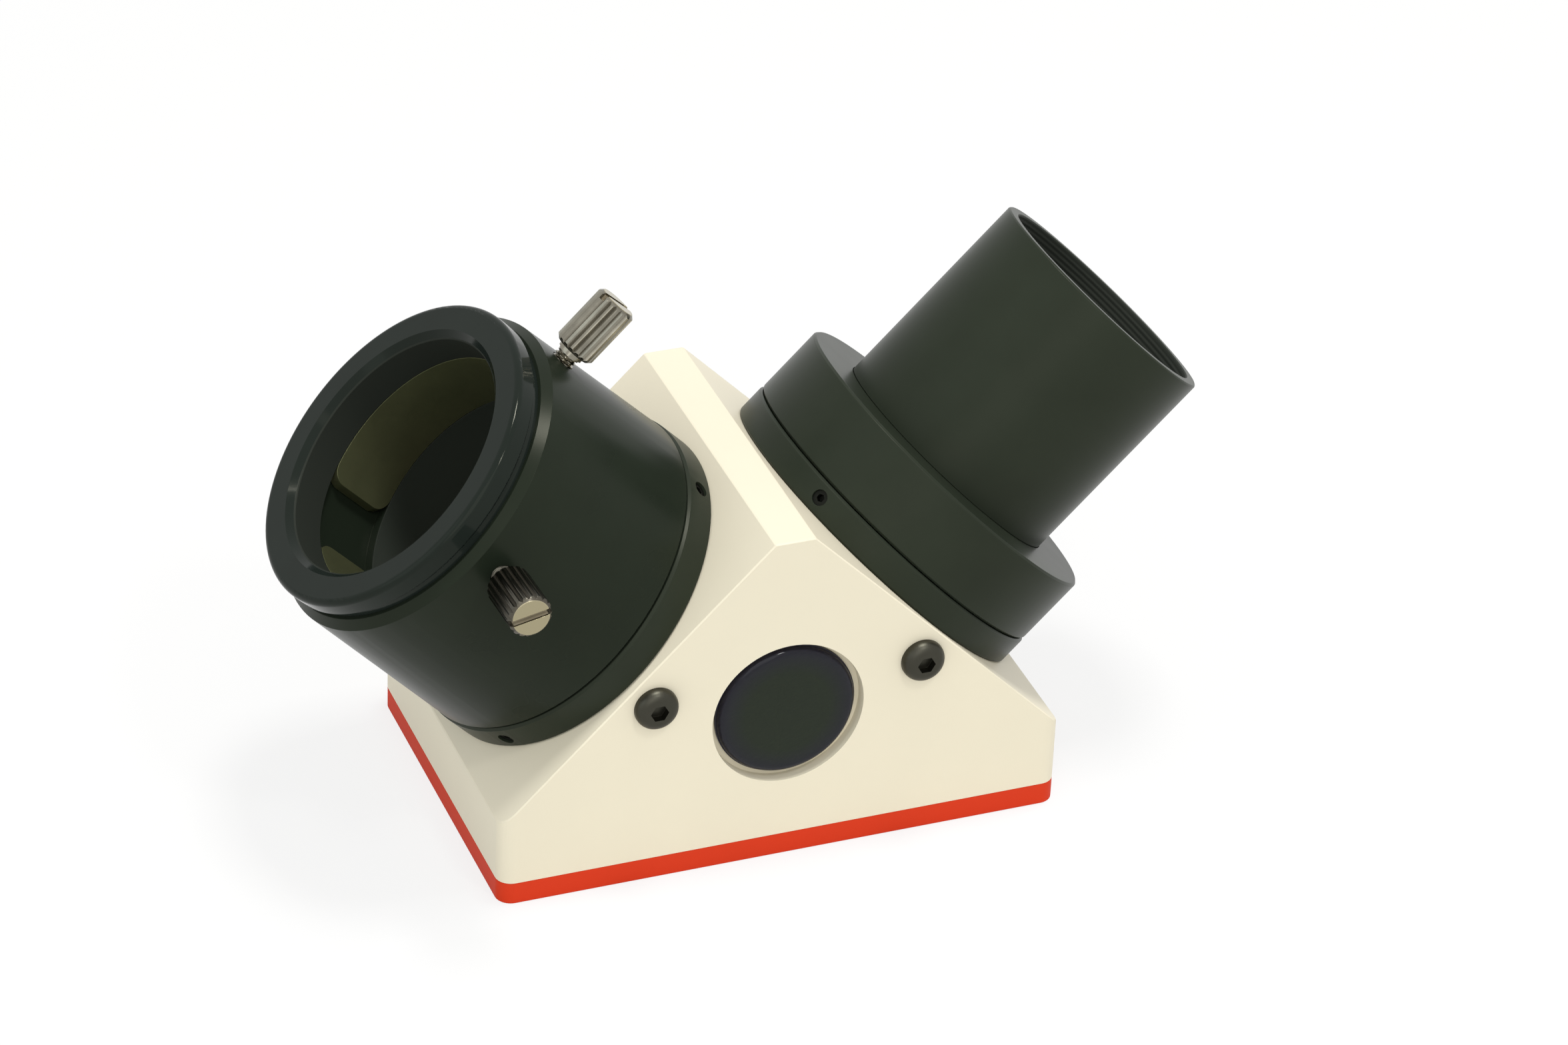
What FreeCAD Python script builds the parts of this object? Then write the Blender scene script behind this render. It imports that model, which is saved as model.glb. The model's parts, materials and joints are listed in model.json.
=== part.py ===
"""Right-angle star diagonal with a hydrogen-alpha blocking filter, 1.25 inch fittings.

Frame: origin under the middle of the base plate, X along the plate from the
eyepiece side (-X) to the telescope side (+X), Y away from the badge, Z up.
Light comes in along the nose axis, turns on the flat mirror and leaves along
the eyepiece axis. Both axes meet on the mirror's face above the origin.
"""
import FreeCAD, Part

import os
import re

import Sketcher

DRIVING = (
    # wedge housing and base plate
    ("body_length", 72.8, "housing and plate along X"),
    ("body_depth", 46.5, "housing and plate along Y"),
    ("plate_thickness", 3.0, "red base plate"),
    ("wall_height", 8.4, "upright end walls above the plate"),
    ("apex_width", 5.1, "flat on top of the wedge"),
    ("slope_angle", 45.0, "degrees of each port face from the plate"),
    ("corner_radius", 2.0, "upright corners of housing and plate"),
    ("edge_break", 0.15, "broken edges of the wedge faces"),
    ("plate_screw_inset", 5.0, "plate screws from both edges"),
    ("plate_screw_length", 8.0, "countersunk M3 screws under the plate"),
    ("screw_radius", 1.5, "M3 thread"),
    ("screw_play", 0.2, "clearance hole over the thread"),
    ("plate_screw_head_radius", 2.8, "countersunk head"),
    ("plate_screw_recess", 0.2, "head below the plate's underside"),
    # mirror
    ("mirror_height", 8.85, "reflecting face above the underside"),
    ("mirror_length", 46.0, "along X"),
    ("mirror_width", 34.0, "along Y"),
    ("mirror_thickness", 5.0, "glass"),
    ("mirror_bevel", 0.5, "ground edges of the mirror"),
    ("mirror_play", 0.3, "room around the mirror in its pocket"),
    ("pad_inset", 1.5, "rubber pad inside the mirror's edges"),
    # ports bored square to the sloping faces
    ("light_bore_radius", 15.0, "clear bore to the mirror"),
    ("spigot_radius", 17.5, "port ring's spigot in the housing"),
    ("spigot_depth", 8.0, "spigot below the sloping face"),
    ("spigot_play", 0.05, "radial fit of the spigot"),
    ("lock_depth", 3.9, "side screws and spigot groove below the sloping face"),
    ("lock_offset", 0.6, "side screws downhill of the port's axis"),
    ("lock_groove_width", 3.4, "groove the side screws bear in"),
    ("lock_groove_depth", 1.0, "groove into the spigot"),
    ("aperture_radius", 14.5, "clear way through the port rings"),
    # recessed badge on the near side
    ("badge_height", 20.7, "badge centre above the underside"),
    ("badge_recess_radius", 9.75, "round recess"),
    ("badge_recess_depth", 1.7, "recess below the near face"),
    ("badge_radius", 9.0, "disc"),
    ("badge_thickness", 0.5, "disc"),
    ("dome_height", 1.0, "clear dome on the disc"),
    ("dome_round", 0.7, "rounded shoulder of the dome"),
    ("dome_inset", 0.15, "dome inside the disc's edge"),
    # side screws that hold the port rings
    ("button_radius", 2.75, "M3 button head"),
    ("button_height", 1.6, "M3 button head"),
    ("button_crown", 1.3, "rounding of the head"),
    ("button_socket_flats", 2.0, "hexagon socket"),
    ("button_socket_depth", 1.05, "hexagon socket"),
    # port rings with three set screws each
    ("eyepiece_ring_radius", 22.05, "ring on the eyepiece side"),
    ("eyepiece_ring_height", 4.3, "ring on the eyepiece side"),
    ("nose_ring_wall", 3.45, "ring on the telescope side, round its socket"),
    ("nose_ring_height", 3.95, "ring on the telescope side"),
    ("ring_break", 0.3, "broken edges of rings and barrels"),
    ("socket_radius", 19.05, "socket for the eyepiece barrel's foot"),
    ("socket_floor", 0.5, "socket floor above the sloping face"),
    ("foot_play", 0.05, "radial running fit of the foot"),
    ("foot_lift", 0.2, "foot above the socket floor"),
    ("foot_groove_depth", 0.8, "groove the set screws point into"),
    ("foot_groove_mouth", 0.9, "half width of the groove's mouth"),
    ("foot_groove_bottom", 0.5, "half width of the groove's floor"),
    ("seam_gap", 0.12, "seam between ring and barrel"),
    ("set_screw_height", 2.0, "set screws above the sloping face"),
    ("set_screw_radius", 1.0, "M2 set screw"),
    ("set_screw_sink", 0.35, "outer end below the ring's surface"),
    ("set_screw_tip_gap", 0.25, "point clear of the groove's floor"),
    ("set_screw_tip_radius", 0.25, "flat on the point"),
    ("set_screw_cone", 1.2, "length of the point"),
    ("set_screw_flats", 0.9, "hexagon socket"),
    ("set_screw_socket_depth", 1.0, "hexagon socket"),
    ("eyepiece_screw_azimuth", 340.0, "first set screw, from uphill towards +Y"),
    ("nose_screw_azimuth", 212.0, "first set screw, from downhill towards +Y"),
    # eyepiece barrel
    ("barrel_foot_radius", 21.9, "barrel above the ring"),
    ("barrel_top_radius", 21.45, "barrel below its top chamfer"),
    ("barrel_top", 29.5, "barrel's top face above the sloping face"),
    ("barrel_chamfer", 1.0, "chamfer round the top"),
    ("bore_radius", 15.95, "1.25 inch eyepiece bore"),
    ("bore_stop", 4.6, "shoulder the eyepiece stops on"),
    ("ring_groove_radius", 17.3, "groove for the brass ring"),
    ("ring_groove_low", 18.8, "lower end of the groove"),
    ("clamp_ring_thickness", 1.2, "brass ring wall"),
    ("clamp_ring_end_play", 0.1, "brass ring in its groove"),
    ("clamp_ring_split", 9.0, "gap between the ends of the brass ring"),
    ("clamp_ring_corner", 2.0, "rounded corners of the ring's ends"),
    ("clamp_ring_azimuth", 144.0, "middle of the gap, from uphill towards +Y"),
    # screwed-in front rim
    ("rim_thread_radius", 18.2, "rim's thread in the barrel"),
    ("rim_thread_length", 1.3, "rim's thread below the barrel's top"),
    ("rim_foot_radius", 20.0, "rim where it sits on the barrel"),
    ("rim_foot_height", 0.9, "narrow foot of the rim"),
    ("rim_flare", 0.5, "slope from the foot to the rim's full width"),
    ("rim_radius", 20.5, "rim at its widest"),
    ("rim_top", 33.4, "rim's front face above the sloping face"),
    ("rim_round", 0.8, "rounded outer edge of the rim"),
    ("rim_mouth", 0.9, "lead-in chamfer of the bore"),
    # thumbscrews
    ("thumb_height", 24.4, "thumbscrew axes above the sloping face"),
    ("thumb_tip_gap", 0.3, "tip to the brass ring"),
    ("thumb_play", 0.05, "radial play of the thread"),
    ("lower_thumb_azimuth", 272.5, "lower thumbscrew, from uphill towards +Y"),
    ("thumb_head_start", 23.25, "head's underside from the eyepiece axis"),
    ("thumb_head_length", 7.95, "knurled head"),
    ("thumb_head_radius", 2.7, "knurled head"),
    ("thumb_head_chamfer", 0.45, "ends of the head"),
    ("thumb_neck_radius", 1.7, "collar under the head"),
    ("thumb_neck_length", 0.5, "collar under the head"),
    ("thumb_tip_chamfer", 0.4, "end of the thread"),
    ("knurl_depth", 0.28, "straight knurl"),
    ("knurl_half_width", 0.3, "straight knurl"),
    ("thumb_slot_width", 0.8, "screwdriver slot"),
    ("thumb_slot_depth", 0.9, "screwdriver slot"),
    ("upper_slot_turn", 13.0, "degrees of the upper slot from across its port"),
    ("lower_slot_turn", 55.5, "degrees of the lower slot from across its port"),
    # blocking filter in the eyepiece port
    ("cell_play", 0.05, "cell in the port ring"),
    ("cell_low", 7.0, "cell's lower face below the sloping face"),
    ("cell_height", 5.5, "filter cell"),
    ("cell_floor", 0.9, "lip under the filter"),
    ("blocker_aperture_radius", 9.0, "18 mm clear aperture"),
    ("blocker_radius", 10.0, "blocking filter glass"),
    ("blocker_thickness", 3.0, "blocking filter glass"),
    ("glass_play", 0.1, "room round the glasses"),
    ("blocker_ring_height", 1.2, "threaded retaining ring"),
    ("spanner_slot_width", 1.2, "spanner slots of the retaining rings"),
    ("spanner_slot_depth", 0.5, "spanner slots of the retaining rings"),
    # telescope side
    ("collar_step", 0.1, "collar inside its ring's outer edge"),
    ("collar_top", 13.55, "collar's outer face above the sloping face"),
    ("collar_lip", 1.6, "lip that stops the tube's foot"),
    ("tube_radius", 15.875, "1.25 inch nosepiece"),
    ("tube_top", 41.4, "nosepiece mouth above the sloping face"),
    ("tube_wall", 2.375, "wall of the nosepiece"),
    ("tube_neck_relief", 0.25, "relief of the nosepiece inside the collar's lip"),
    ("tube_play", 0.05, "tube in the collar"),
    ("tube_foot_step", 1.325, "threaded foot outside the nosepiece's wall"),
    ("tube_foot_low", 4.6, "foot's lower end above the sloping face"),
    ("mouth_wall", 1.625, "wall round the M28.5 filter thread"),
    ("filter_thread_length", 4.0, "M28.5 filter thread"),
    ("tube_mouth_break", 0.2, "broken edges of the mouth"),
    ("collar_foot_wall", 1.75, "collar's foot round the tube's foot"),
    ("trim_wall", 2.6, "wall of the foot round the trim filter"),
    ("trim_thickness", 2.6, "trim filter glass"),
    ("trim_seat", 9.0, "shoulder over the trim filter, above the sloping face"),
    ("trim_ring_height", 1.2, "threaded retaining ring"),
    ("trim_ring_wall", 1.6, "threaded retaining ring"),
)

SHEET = "Sizes"
KNURLS = 18
SET_SCREWS = 3
EYEPIECE_SIDE = -1
NOSE_SIDE = 1
UPHILL = "0"
OVERRUN = "1"
SAME_SIZE = 1e-4
SHORTEST_UPRIGHT = 1.0

# Formulas over the driving dimensions, used by more than one piece.
WALL_TOP = "(plate_thickness + wall_height)"
SLOPE_RISE = "((body_length - apex_width) / 2 * tan(slope_angle))"
PORT_X = (
    "((" + WALL_TOP + " + body_length / 2 * tan(slope_angle) - mirror_height)"
    " / (tan(slope_angle) + 1 / tan(slope_angle)))"
)
PORT_Z = "(mirror_height + " + PORT_X + " / tan(slope_angle))"
PAD_THICKNESS = "(mirror_height - mirror_thickness - plate_thickness)"
FOOT_LOW = "(socket_floor + foot_lift)"
GROOVE_TOP = "(barrel_top - rim_thread_length)"
CLAMP_RING_OUTER = "(bore_radius + clamp_ring_thickness)"
THUMB_TIP = "(" + CLAMP_RING_OUTER + " + thumb_tip_gap)"
THUMB_SHANK = "(thumb_head_start - " + THUMB_TIP + ")"
CELL_RADIUS = "(aperture_radius - cell_play)"
TUBE_FOOT_RADIUS = "(tube_radius + tube_foot_step)"
TRIM_SEAT_RADIUS = "(" + TUBE_FOOT_RADIUS + " - trim_wall)"
COLLAR_FOOT_RADIUS = "(" + TUBE_FOOT_RADIUS + " + tube_play + collar_foot_wall)"
NOSE_RING_RADIUS = "(" + COLLAR_FOOT_RADIUS + " + foot_play + nose_ring_wall)"
COLLAR_RADIUS = "(" + NOSE_RING_RADIUS + " - collar_step)"
BARREL_FOOT_RADIUS = "(socket_radius - foot_play)"
BADGE_FLOOR_Y = "(-body_depth / 2 + badge_recess_depth)"

doc = FreeCAD.newDocument("star_diagonal")
exported = []


# ---------------------------------------------------------------- document helpers

def make_sheet():
    """Driving dimensions: name, value and what it measures, one row each."""
    sheet = doc.addObject("Spreadsheet::Sheet", SHEET)
    for row, (alias, value, meaning) in enumerate(DRIVING, start=1):
        sheet.set("A%d" % row, alias)
        sheet.set("B%d" % row, str(value))
        sheet.setAlias("B%d" % row, alias)
        sheet.set("C%d" % row, meaning)
    doc.recompute()
    return sheet


sheet = make_sheet()
ALIASES = {alias for alias, value, meaning in DRIVING}


def formula(text):
    """The same formula with every driving dimension looked up in the sheet."""
    def qualify(match):
        word = match.group(0)
        return SHEET + "." + word if word in ALIASES else word
    return re.sub(r"[a-z][a-z_0-9]*", qualify, text)


def value(text):
    return float(sheet.evalExpression(formula(text)))


def bind(target, prop, text):
    target.setExpression(prop, formula(text))


def new_body(label):
    body = doc.addObject("PartDesign::Body", label)
    body.Label = label
    exported.append(body)
    return body


def plane_of(body, role):
    return next(f for f in body.Origin.OriginFeatures if f.Role == role)


def new_sketch(body, name, role, shift=("0", "0", "0"), turn_axis=None, turn="0"):
    """Sketch on one of the body's origin planes, shifted and turned by formulas."""
    sketch = body.newObject("Sketcher::SketchObject", name)
    sketch.AttachmentSupport = [(plane_of(body, role), "")]
    sketch.MapMode = "FlatFace"
    offset = FreeCAD.Vector(*[value(part) for part in shift])
    rotation = FreeCAD.Rotation()
    if turn_axis is not None:
        rotation = FreeCAD.Rotation(FreeCAD.Vector(*turn_axis), value(turn))
    sketch.AttachmentOffset = FreeCAD.Placement(offset, rotation)
    for letter, part in zip("xyz", shift):
        bind(sketch, "AttachmentOffset.Base." + letter, part)
    if turn_axis is not None:
        bind(sketch, "AttachmentOffset.Rotation.Angle", turn)
    return sketch


def pin_point(sketch, geometry, point, across, up):
    """Hold a point of the sketch at a pair of formulas."""
    for kind, text, axis in (("DistanceX", across, -2), ("DistanceY", up, -1)):
        if text == "0":
            sketch.addConstraint(Sketcher.Constraint("PointOnObject", geometry, point, axis))
            continue
        rule = Sketcher.Constraint(kind, -1, 1, geometry, point, value(text))
        index = sketch.addConstraint(rule)
        bind(sketch, "Constraints[%d]" % index, text)


def draw_outline(sketch, corners):
    """Closed outline of straight lines through corners given as pairs of formulas."""
    first = sketch.GeometryCount
    spots = [FreeCAD.Vector(value(across), value(up), 0) for across, up in corners]
    count = len(corners)
    for index, spot in enumerate(spots):
        sketch.addGeometry(Part.LineSegment(spot, spots[(index + 1) % count]))
    for index in range(count):
        following = first + (index + 1) % count
        sketch.addConstraint(Sketcher.Constraint("Coincident", first + index, 2, following, 1))
    for index, (across, up) in enumerate(corners):
        pin_point(sketch, first + index, 1, across, up)


def draw_circle(sketch, radius, across="0", up="0"):
    centre = FreeCAD.Vector(value(across), value(up), 0)
    circle = Part.Circle(centre, FreeCAD.Vector(0, 0, 1), value(radius))
    geometry = sketch.addGeometry(circle)
    pin_point(sketch, geometry, 3, across, up)
    index = sketch.addConstraint(Sketcher.Constraint("Radius", geometry, value(radius)))
    bind(sketch, "Constraints[%d]" % index, radius)


def draw_hexagon(sketch, flats):
    """Hexagon about the sketch's origin, measured across its flats."""
    half = flats + " / 2"
    reach = "(" + flats + " / sqrt(3))"
    corners = (
        (reach, "0"), (reach + " / 2", half), ("-" + reach + " / 2", half),
        ("-" + reach, "0"), ("-" + reach + " / 2", "-" + half), (reach + " / 2", "-" + half),
    )
    draw_outline(sketch, corners)


def add_pad(body, sketch, length, symmetric=False, flip=False):
    pad = body.newObject("PartDesign::Pad", sketch.Name + "_pad")
    pad.Profile = sketch
    bind(pad, "Length", length)
    if symmetric:
        pad.SideType = "Symmetric"
    pad.Reversed = flip
    return pad


def add_pocket(body, sketch, length, flip=False):
    """Cut against the sketch's normal, or along it when flipped."""
    before = body.Shape.Volume if body.Shape else 0.0
    pocket = body.newObject("PartDesign::Pocket", sketch.Name + "_pocket")
    pocket.Profile = sketch
    bind(pocket, "Length", length)
    pocket.Reversed = flip
    doc.recompute()
    if not body.Shape.Volume < before:
        raise RuntimeError("%s cuts nothing" % pocket.Name)
    return pocket


def add_revolution(body, corners, name):
    """Solid of revolution about Z from corners given as (radius, height) formulas."""
    sketch = new_sketch(body, name, "XZ_Plane")
    draw_outline(sketch, corners)
    turned = body.newObject("PartDesign::Revolution", name + "_turned")
    turned.Profile = sketch
    turned.ReferenceAxis = (sketch, ["V_Axis"])
    turned.Angle = 360
    doc.recompute()
    return turned


def edges_where(feature, test):
    names = []
    for index, edge in enumerate(feature.Shape.Edges, start=1):
        if test(edge):
            names.append("Edge%d" % index)
    if not names:
        raise RuntimeError("no edge of %s fits" % feature.Name)
    return names


def dress(body, kind, feature, size, test):
    """Fillet or chamfer on the edges of a feature that pass a test."""
    doc.recompute()
    dressed = body.newObject("PartDesign::" + kind, feature.Name + "_" + kind.lower())
    dressed.Base = (feature, edges_where(feature, test))
    bind(dressed, "Radius" if kind == "Fillet" else "Size", size)
    doc.recompute()
    return dressed


def near(a, b):
    return abs(a - b) < SAME_SIZE


def is_ring(edge, radius, height):
    """A full circle about Z with this radius at this height."""
    curve = edge.Curve
    if curve.TypeId != "Part::GeomCircle" or not edge.isClosed():
        return False
    return near(curve.Radius, radius) and near(curve.Center.z, height)


def is_upright(edge):
    """A straight edge along Z."""
    low, high = edge.Vertexes[0].Point, edge.Vertexes[-1].Point
    tall = abs(low.z - high.z) > SHORTEST_UPRIGHT
    return near(low.x, high.x) and near(low.y, high.y) and tall


def is_level_line(edge):
    """A straight edge square to Z."""
    return edge.Curve.TypeId == "Part::GeomLine" and near(edge.Vertexes[0].Z, edge.Vertexes[-1].Z)


def repeat_round(body, feature, axis_sketch, count, axis="V_Axis"):
    """Copies of a cut, evenly round one axis of its sketch."""
    pattern = body.newObject("PartDesign::PolarPattern", feature.Name + "_round")
    pattern.Originals = [feature]
    pattern.Axis = (axis_sketch, [axis])
    pattern.Angle = 360
    pattern.Occurrences = count
    body.Tip = pattern
    doc.recompute()
    return pattern


def place(part, base=("0", "0", "0"), axis=(0, 1, 0), angle="0"):
    """Put a piece where the formulas say, turned about one axis."""
    spot = FreeCAD.Vector(*[value(text) for text in base])
    turn = FreeCAD.Rotation(FreeCAD.Vector(*axis), value(angle))
    part.Placement = FreeCAD.Placement(spot, turn)
    for letter, text in zip("xyz", base):
        bind(part, "Placement.Base." + letter, text)
    if angle != "0":
        bind(part, "Placement.Rotation.Angle", angle)


def port_spot(side, outward="0", uphill="0", across="0"):
    """Point given in a port's own directions, as formulas in the part's frame."""
    sign = "1" if side > 0 else "-1"
    x = "%s * (%s + (%s) * sin(slope_angle) - (%s) * cos(slope_angle))"
    z = "%s + (%s) * cos(slope_angle) + (%s) * sin(slope_angle)"
    return (x % (sign, PORT_X, outward, uphill), across, z % (PORT_Z, outward, uphill))


def place_on_port(part, side):
    """Z of the piece along the port's axis, its origin on the sloping face."""
    place(part, port_spot(side), (0, 1, 0), "slope_angle" if side > 0 else "-slope_angle")


def place_on_barrel(part, height, distance, azimuth):
    """Z of the piece pointing away from the eyepiece axis, at this height and azimuth."""
    uphill = distance + " * cos(" + azimuth + ")"
    across = distance + " * sin(" + azimuth + ")"
    spot = "vector(" + "; ".join(port_spot(EYEPIECE_SIDE, height, uphill, across)) + ")"
    turns = (
        "rotation(vector(0; 1; 0); -slope_angle)",
        "rotation(vector(0; 0; 1); " + azimuth + ")",
        "rotation(vector(0; 1; 0); 90)",
    )
    bind(part, "Placement", "placement(" + spot + "; " + " * ".join(turns) + ")")
    doc.recompute()


def copies(label, shape, placements):
    """One node that holds several like pieces as separate solids."""
    group = doc.addObject("Part::Feature", label)
    group.Label = label
    solids = []
    for placement in placements:
        solid = shape.copy()
        solid.Placement = placement.multiply(solid.Placement)
        solids.append(solid)
    group.Shape = Part.makeCompound(solids)
    exported.append(group)
    return group


# ---------------------------------------------------------------- housing and plate

def cut_port(body, side):
    """Stepped bore square to one sloping face: seat of the spigot, then the light's way."""
    tag = "eyepiece" if side < 0 else "nose"
    spot = port_spot(side)
    turn = "slope_angle" if side > 0 else "-slope_angle"
    to_mirror = "(" + PORT_X + " / sin(slope_angle))"
    for name, radius, depth in (
        ("seat", "spigot_radius + spigot_play", "spigot_depth"),
        ("way", "light_bore_radius", to_mirror + " + light_bore_radius"),
    ):
        sketch = new_sketch(body, tag + "_" + name, "XY_Plane", spot, (0, 1, 0), turn)
        draw_circle(sketch, radius)
        add_pocket(body, sketch, depth)


def lock_spot(side):
    """Where a side screw enters the near face, as X and Z formulas."""
    x, across, z = port_spot(side, "-lock_depth", "-lock_offset")
    return x, z


def make_housing():
    """Wedge milled from one block, bored from both slopes and pocketed from below."""
    body = new_body("housing")
    half, apex = "body_length / 2", "apex_width / 2"
    top = WALL_TOP + " + " + SLOPE_RISE
    profile = new_sketch(body, "wedge", "XZ_Plane")
    draw_outline(profile, (
        ("-" + half, "plate_thickness"), (half, "plate_thickness"), (half, WALL_TOP),
        (apex, top), ("-" + apex, top), ("-" + half, WALL_TOP),
    ))
    wedge = add_pad(body, profile, "body_depth", symmetric=True)
    rounded = dress(body, "Fillet", wedge, "corner_radius", is_upright)
    low = value("plate_thickness")
    dress(body, "Chamfer", rounded, "edge_break",
          lambda edge: edge.BoundBox.ZMax > low + SHORTEST_UPRIGHT and not is_upright(edge))
    cut_port(body, EYEPIECE_SIDE)
    cut_port(body, NOSE_SIDE)

    pocket = new_sketch(body, "mirror_pocket", "XY_Plane", ("0", "0", "plate_thickness"))
    x = "(mirror_length / 2 + mirror_play)"
    y = "(mirror_width / 2 + mirror_play)"
    draw_outline(pocket, (("-" + x, "-" + y), (x, "-" + y), (x, y), ("-" + x, y)))
    add_pocket(body, pocket, "mirror_height - plate_thickness", flip=True)

    recess = new_sketch(body, "badge_recess", "XZ_Plane", ("0", "0", "body_depth / 2"))
    draw_circle(recess, "badge_recess_radius", "0", "badge_height")
    add_pocket(body, recess, "badge_recess_depth")

    locks = new_sketch(body, "lock_holes", "XZ_Plane", ("0", "0", "body_depth / 2"))
    for side in (EYEPIECE_SIDE, NOSE_SIDE):
        draw_circle(locks, "screw_radius", *lock_spot(side))
    add_pocket(body, locks, "body_depth / 2 - spigot_radius + lock_groove_depth")

    taps = new_sketch(body, "plate_taps", "XY_Plane", ("0", "0", "plate_thickness"))
    for x, y in plate_screw_spots():
        draw_circle(taps, "screw_radius", x, y)
    tap_depth = "plate_screw_length + plate_screw_recess + screw_play - plate_thickness"
    add_pocket(body, taps, tap_depth, flip=True)


def plate_screw_spots():
    x = "(body_length / 2 - plate_screw_inset)"
    y = "(body_depth / 2 - plate_screw_inset)"
    return [(sx + x, sy + y) for sx in ("-", "") for sy in ("-", "")]


def make_base_plate():
    """Flat plate with the housing's outline and four countersunk holes."""
    body = new_body("base_plate")
    x, y = "body_length / 2", "body_depth / 2"
    outline = new_sketch(body, "plate_outline", "XY_Plane")
    draw_outline(outline, (("-" + x, "-" + y), (x, "-" + y), (x, y), ("-" + x, y)))
    slab = add_pad(body, outline, "plate_thickness")
    dress(body, "Fillet", slab, "corner_radius", is_upright)
    holes = new_sketch(body, "plate_holes", "XY_Plane")
    for hole_x, hole_y in plate_screw_spots():
        draw_circle(holes, "screw_radius + screw_play", hole_x, hole_y)
    drilled = add_pocket(body, holes, "plate_thickness", flip=True)
    radius = value("screw_radius + screw_play")
    dress(body, "Chamfer", drilled,
          "plate_screw_head_radius + plate_screw_recess - screw_radius - screw_play",
          lambda edge: is_ring(edge, radius, 0.0))


def make_plate_screws():
    """Four countersunk screws from below, heads just under the plate's surface."""
    screw = doc.addObject("PartDesign::Body", "plate_screw")
    cone = "(plate_screw_head_radius - screw_radius)"
    add_revolution(screw, (
        ("0", "0"), ("plate_screw_head_radius", "0"), ("screw_radius", cone),
        ("screw_radius", "plate_screw_length"), ("0", "plate_screw_length"),
    ), "plate_screw_profile")
    socket = new_sketch(screw, "plate_screw_socket", "XY_Plane")
    draw_hexagon(socket, "button_socket_flats")
    add_pocket(screw, socket, "button_socket_depth", flip=True)
    spots = [
        FreeCAD.Placement(FreeCAD.Vector(value(x), value(y), value("plate_screw_recess")), FreeCAD.Rotation())
        for x, y in plate_screw_spots()
    ]
    copies("base_plate_screws", screw.Shape, spots)


# ---------------------------------------------------------------- mirror

def make_mirror():
    """Flat mirror lying face up in the housing's pocket."""
    body = new_body("mirror")
    x, y = "mirror_length / 2", "mirror_width / 2"
    low = "(mirror_height - mirror_thickness)"
    outline = new_sketch(body, "mirror_outline", "XY_Plane", ("0", "0", low))
    draw_outline(outline, (("-" + x, "-" + y), (x, "-" + y), (x, y), ("-" + x, y)))
    glass = add_pad(body, outline, "mirror_thickness")
    dress(body, "Chamfer", glass, "mirror_bevel", lambda edge: True)


def make_mirror_pad():
    """Thin rubber pad that presses the mirror up against the housing."""
    pad = doc.addObject("Part::Box", "mirror_pad")
    pad.Label = "mirror_pad"
    bind(pad, "Length", "mirror_length - 2 * pad_inset")
    bind(pad, "Width", "mirror_width - 2 * pad_inset")
    bind(pad, "Height", PAD_THICKNESS)
    place(pad, ("pad_inset - mirror_length / 2", "pad_inset - mirror_width / 2", "plate_thickness"))
    exported.append(pad)


# ---------------------------------------------------------------- badge and side screws

def make_badge():
    """Plain disc on the floor of the recess, under clear resin with a rounded shoulder."""
    disc = doc.addObject("Part::Cylinder", "badge_disc")
    disc.Label = "badge_disc"
    bind(disc, "Radius", "badge_radius")
    bind(disc, "Height", "badge_thickness")
    place(disc, ("0", BADGE_FLOOR_Y, "badge_height"), (1, 0, 0), "90")
    exported.append(disc)

    foot = "(badge_radius - dome_inset)"
    dome = new_body("badge_dome")
    turned = add_revolution(dome, (
        ("0", "0"), (foot, "0"), (foot, "dome_height"), ("0", "dome_height"),
    ), "dome_profile")
    shoulder = (value(foot), value("dome_height"))
    dress(dome, "Fillet", turned, "dome_round", lambda edge: is_ring(edge, *shoulder))
    place(dome, ("0", BADGE_FLOOR_Y + " - badge_thickness", "badge_height"), (1, 0, 0), "90")


def make_lock_screws():
    """Button-head screws through the near wall, one into each port ring's groove."""
    screw = doc.addObject("PartDesign::Body", "lock_screw")
    reach = "(body_depth / 2 - spigot_radius + lock_groove_depth - screw_play)"
    turned = add_revolution(screw, (
        ("0", "-" + reach), ("screw_radius", "-" + reach), ("screw_radius", "0"),
        ("button_radius", "0"), ("button_radius", "button_height"), ("0", "button_height"),
    ), "lock_screw_profile")
    rim = (value("button_radius"), value("button_height"))
    dress(screw, "Fillet", turned, "button_crown", lambda edge: is_ring(edge, *rim))
    socket = new_sketch(screw, "lock_screw_socket", "XY_Plane", ("0", "0", "button_height"))
    draw_hexagon(socket, "button_socket_flats")
    add_pocket(screw, socket, "button_socket_depth")
    spots = []
    for side in (EYEPIECE_SIDE, NOSE_SIDE):
        x, z = lock_spot(side)
        spot = FreeCAD.Vector(value(x), value("-body_depth / 2"), value(z))
        spots.append(FreeCAD.Placement(spot, FreeCAD.Rotation(FreeCAD.Vector(1, 0, 0), 90)))
    copies("side_lock_screws", screw.Shape, spots)


# ---------------------------------------------------------------- port rings

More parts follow.
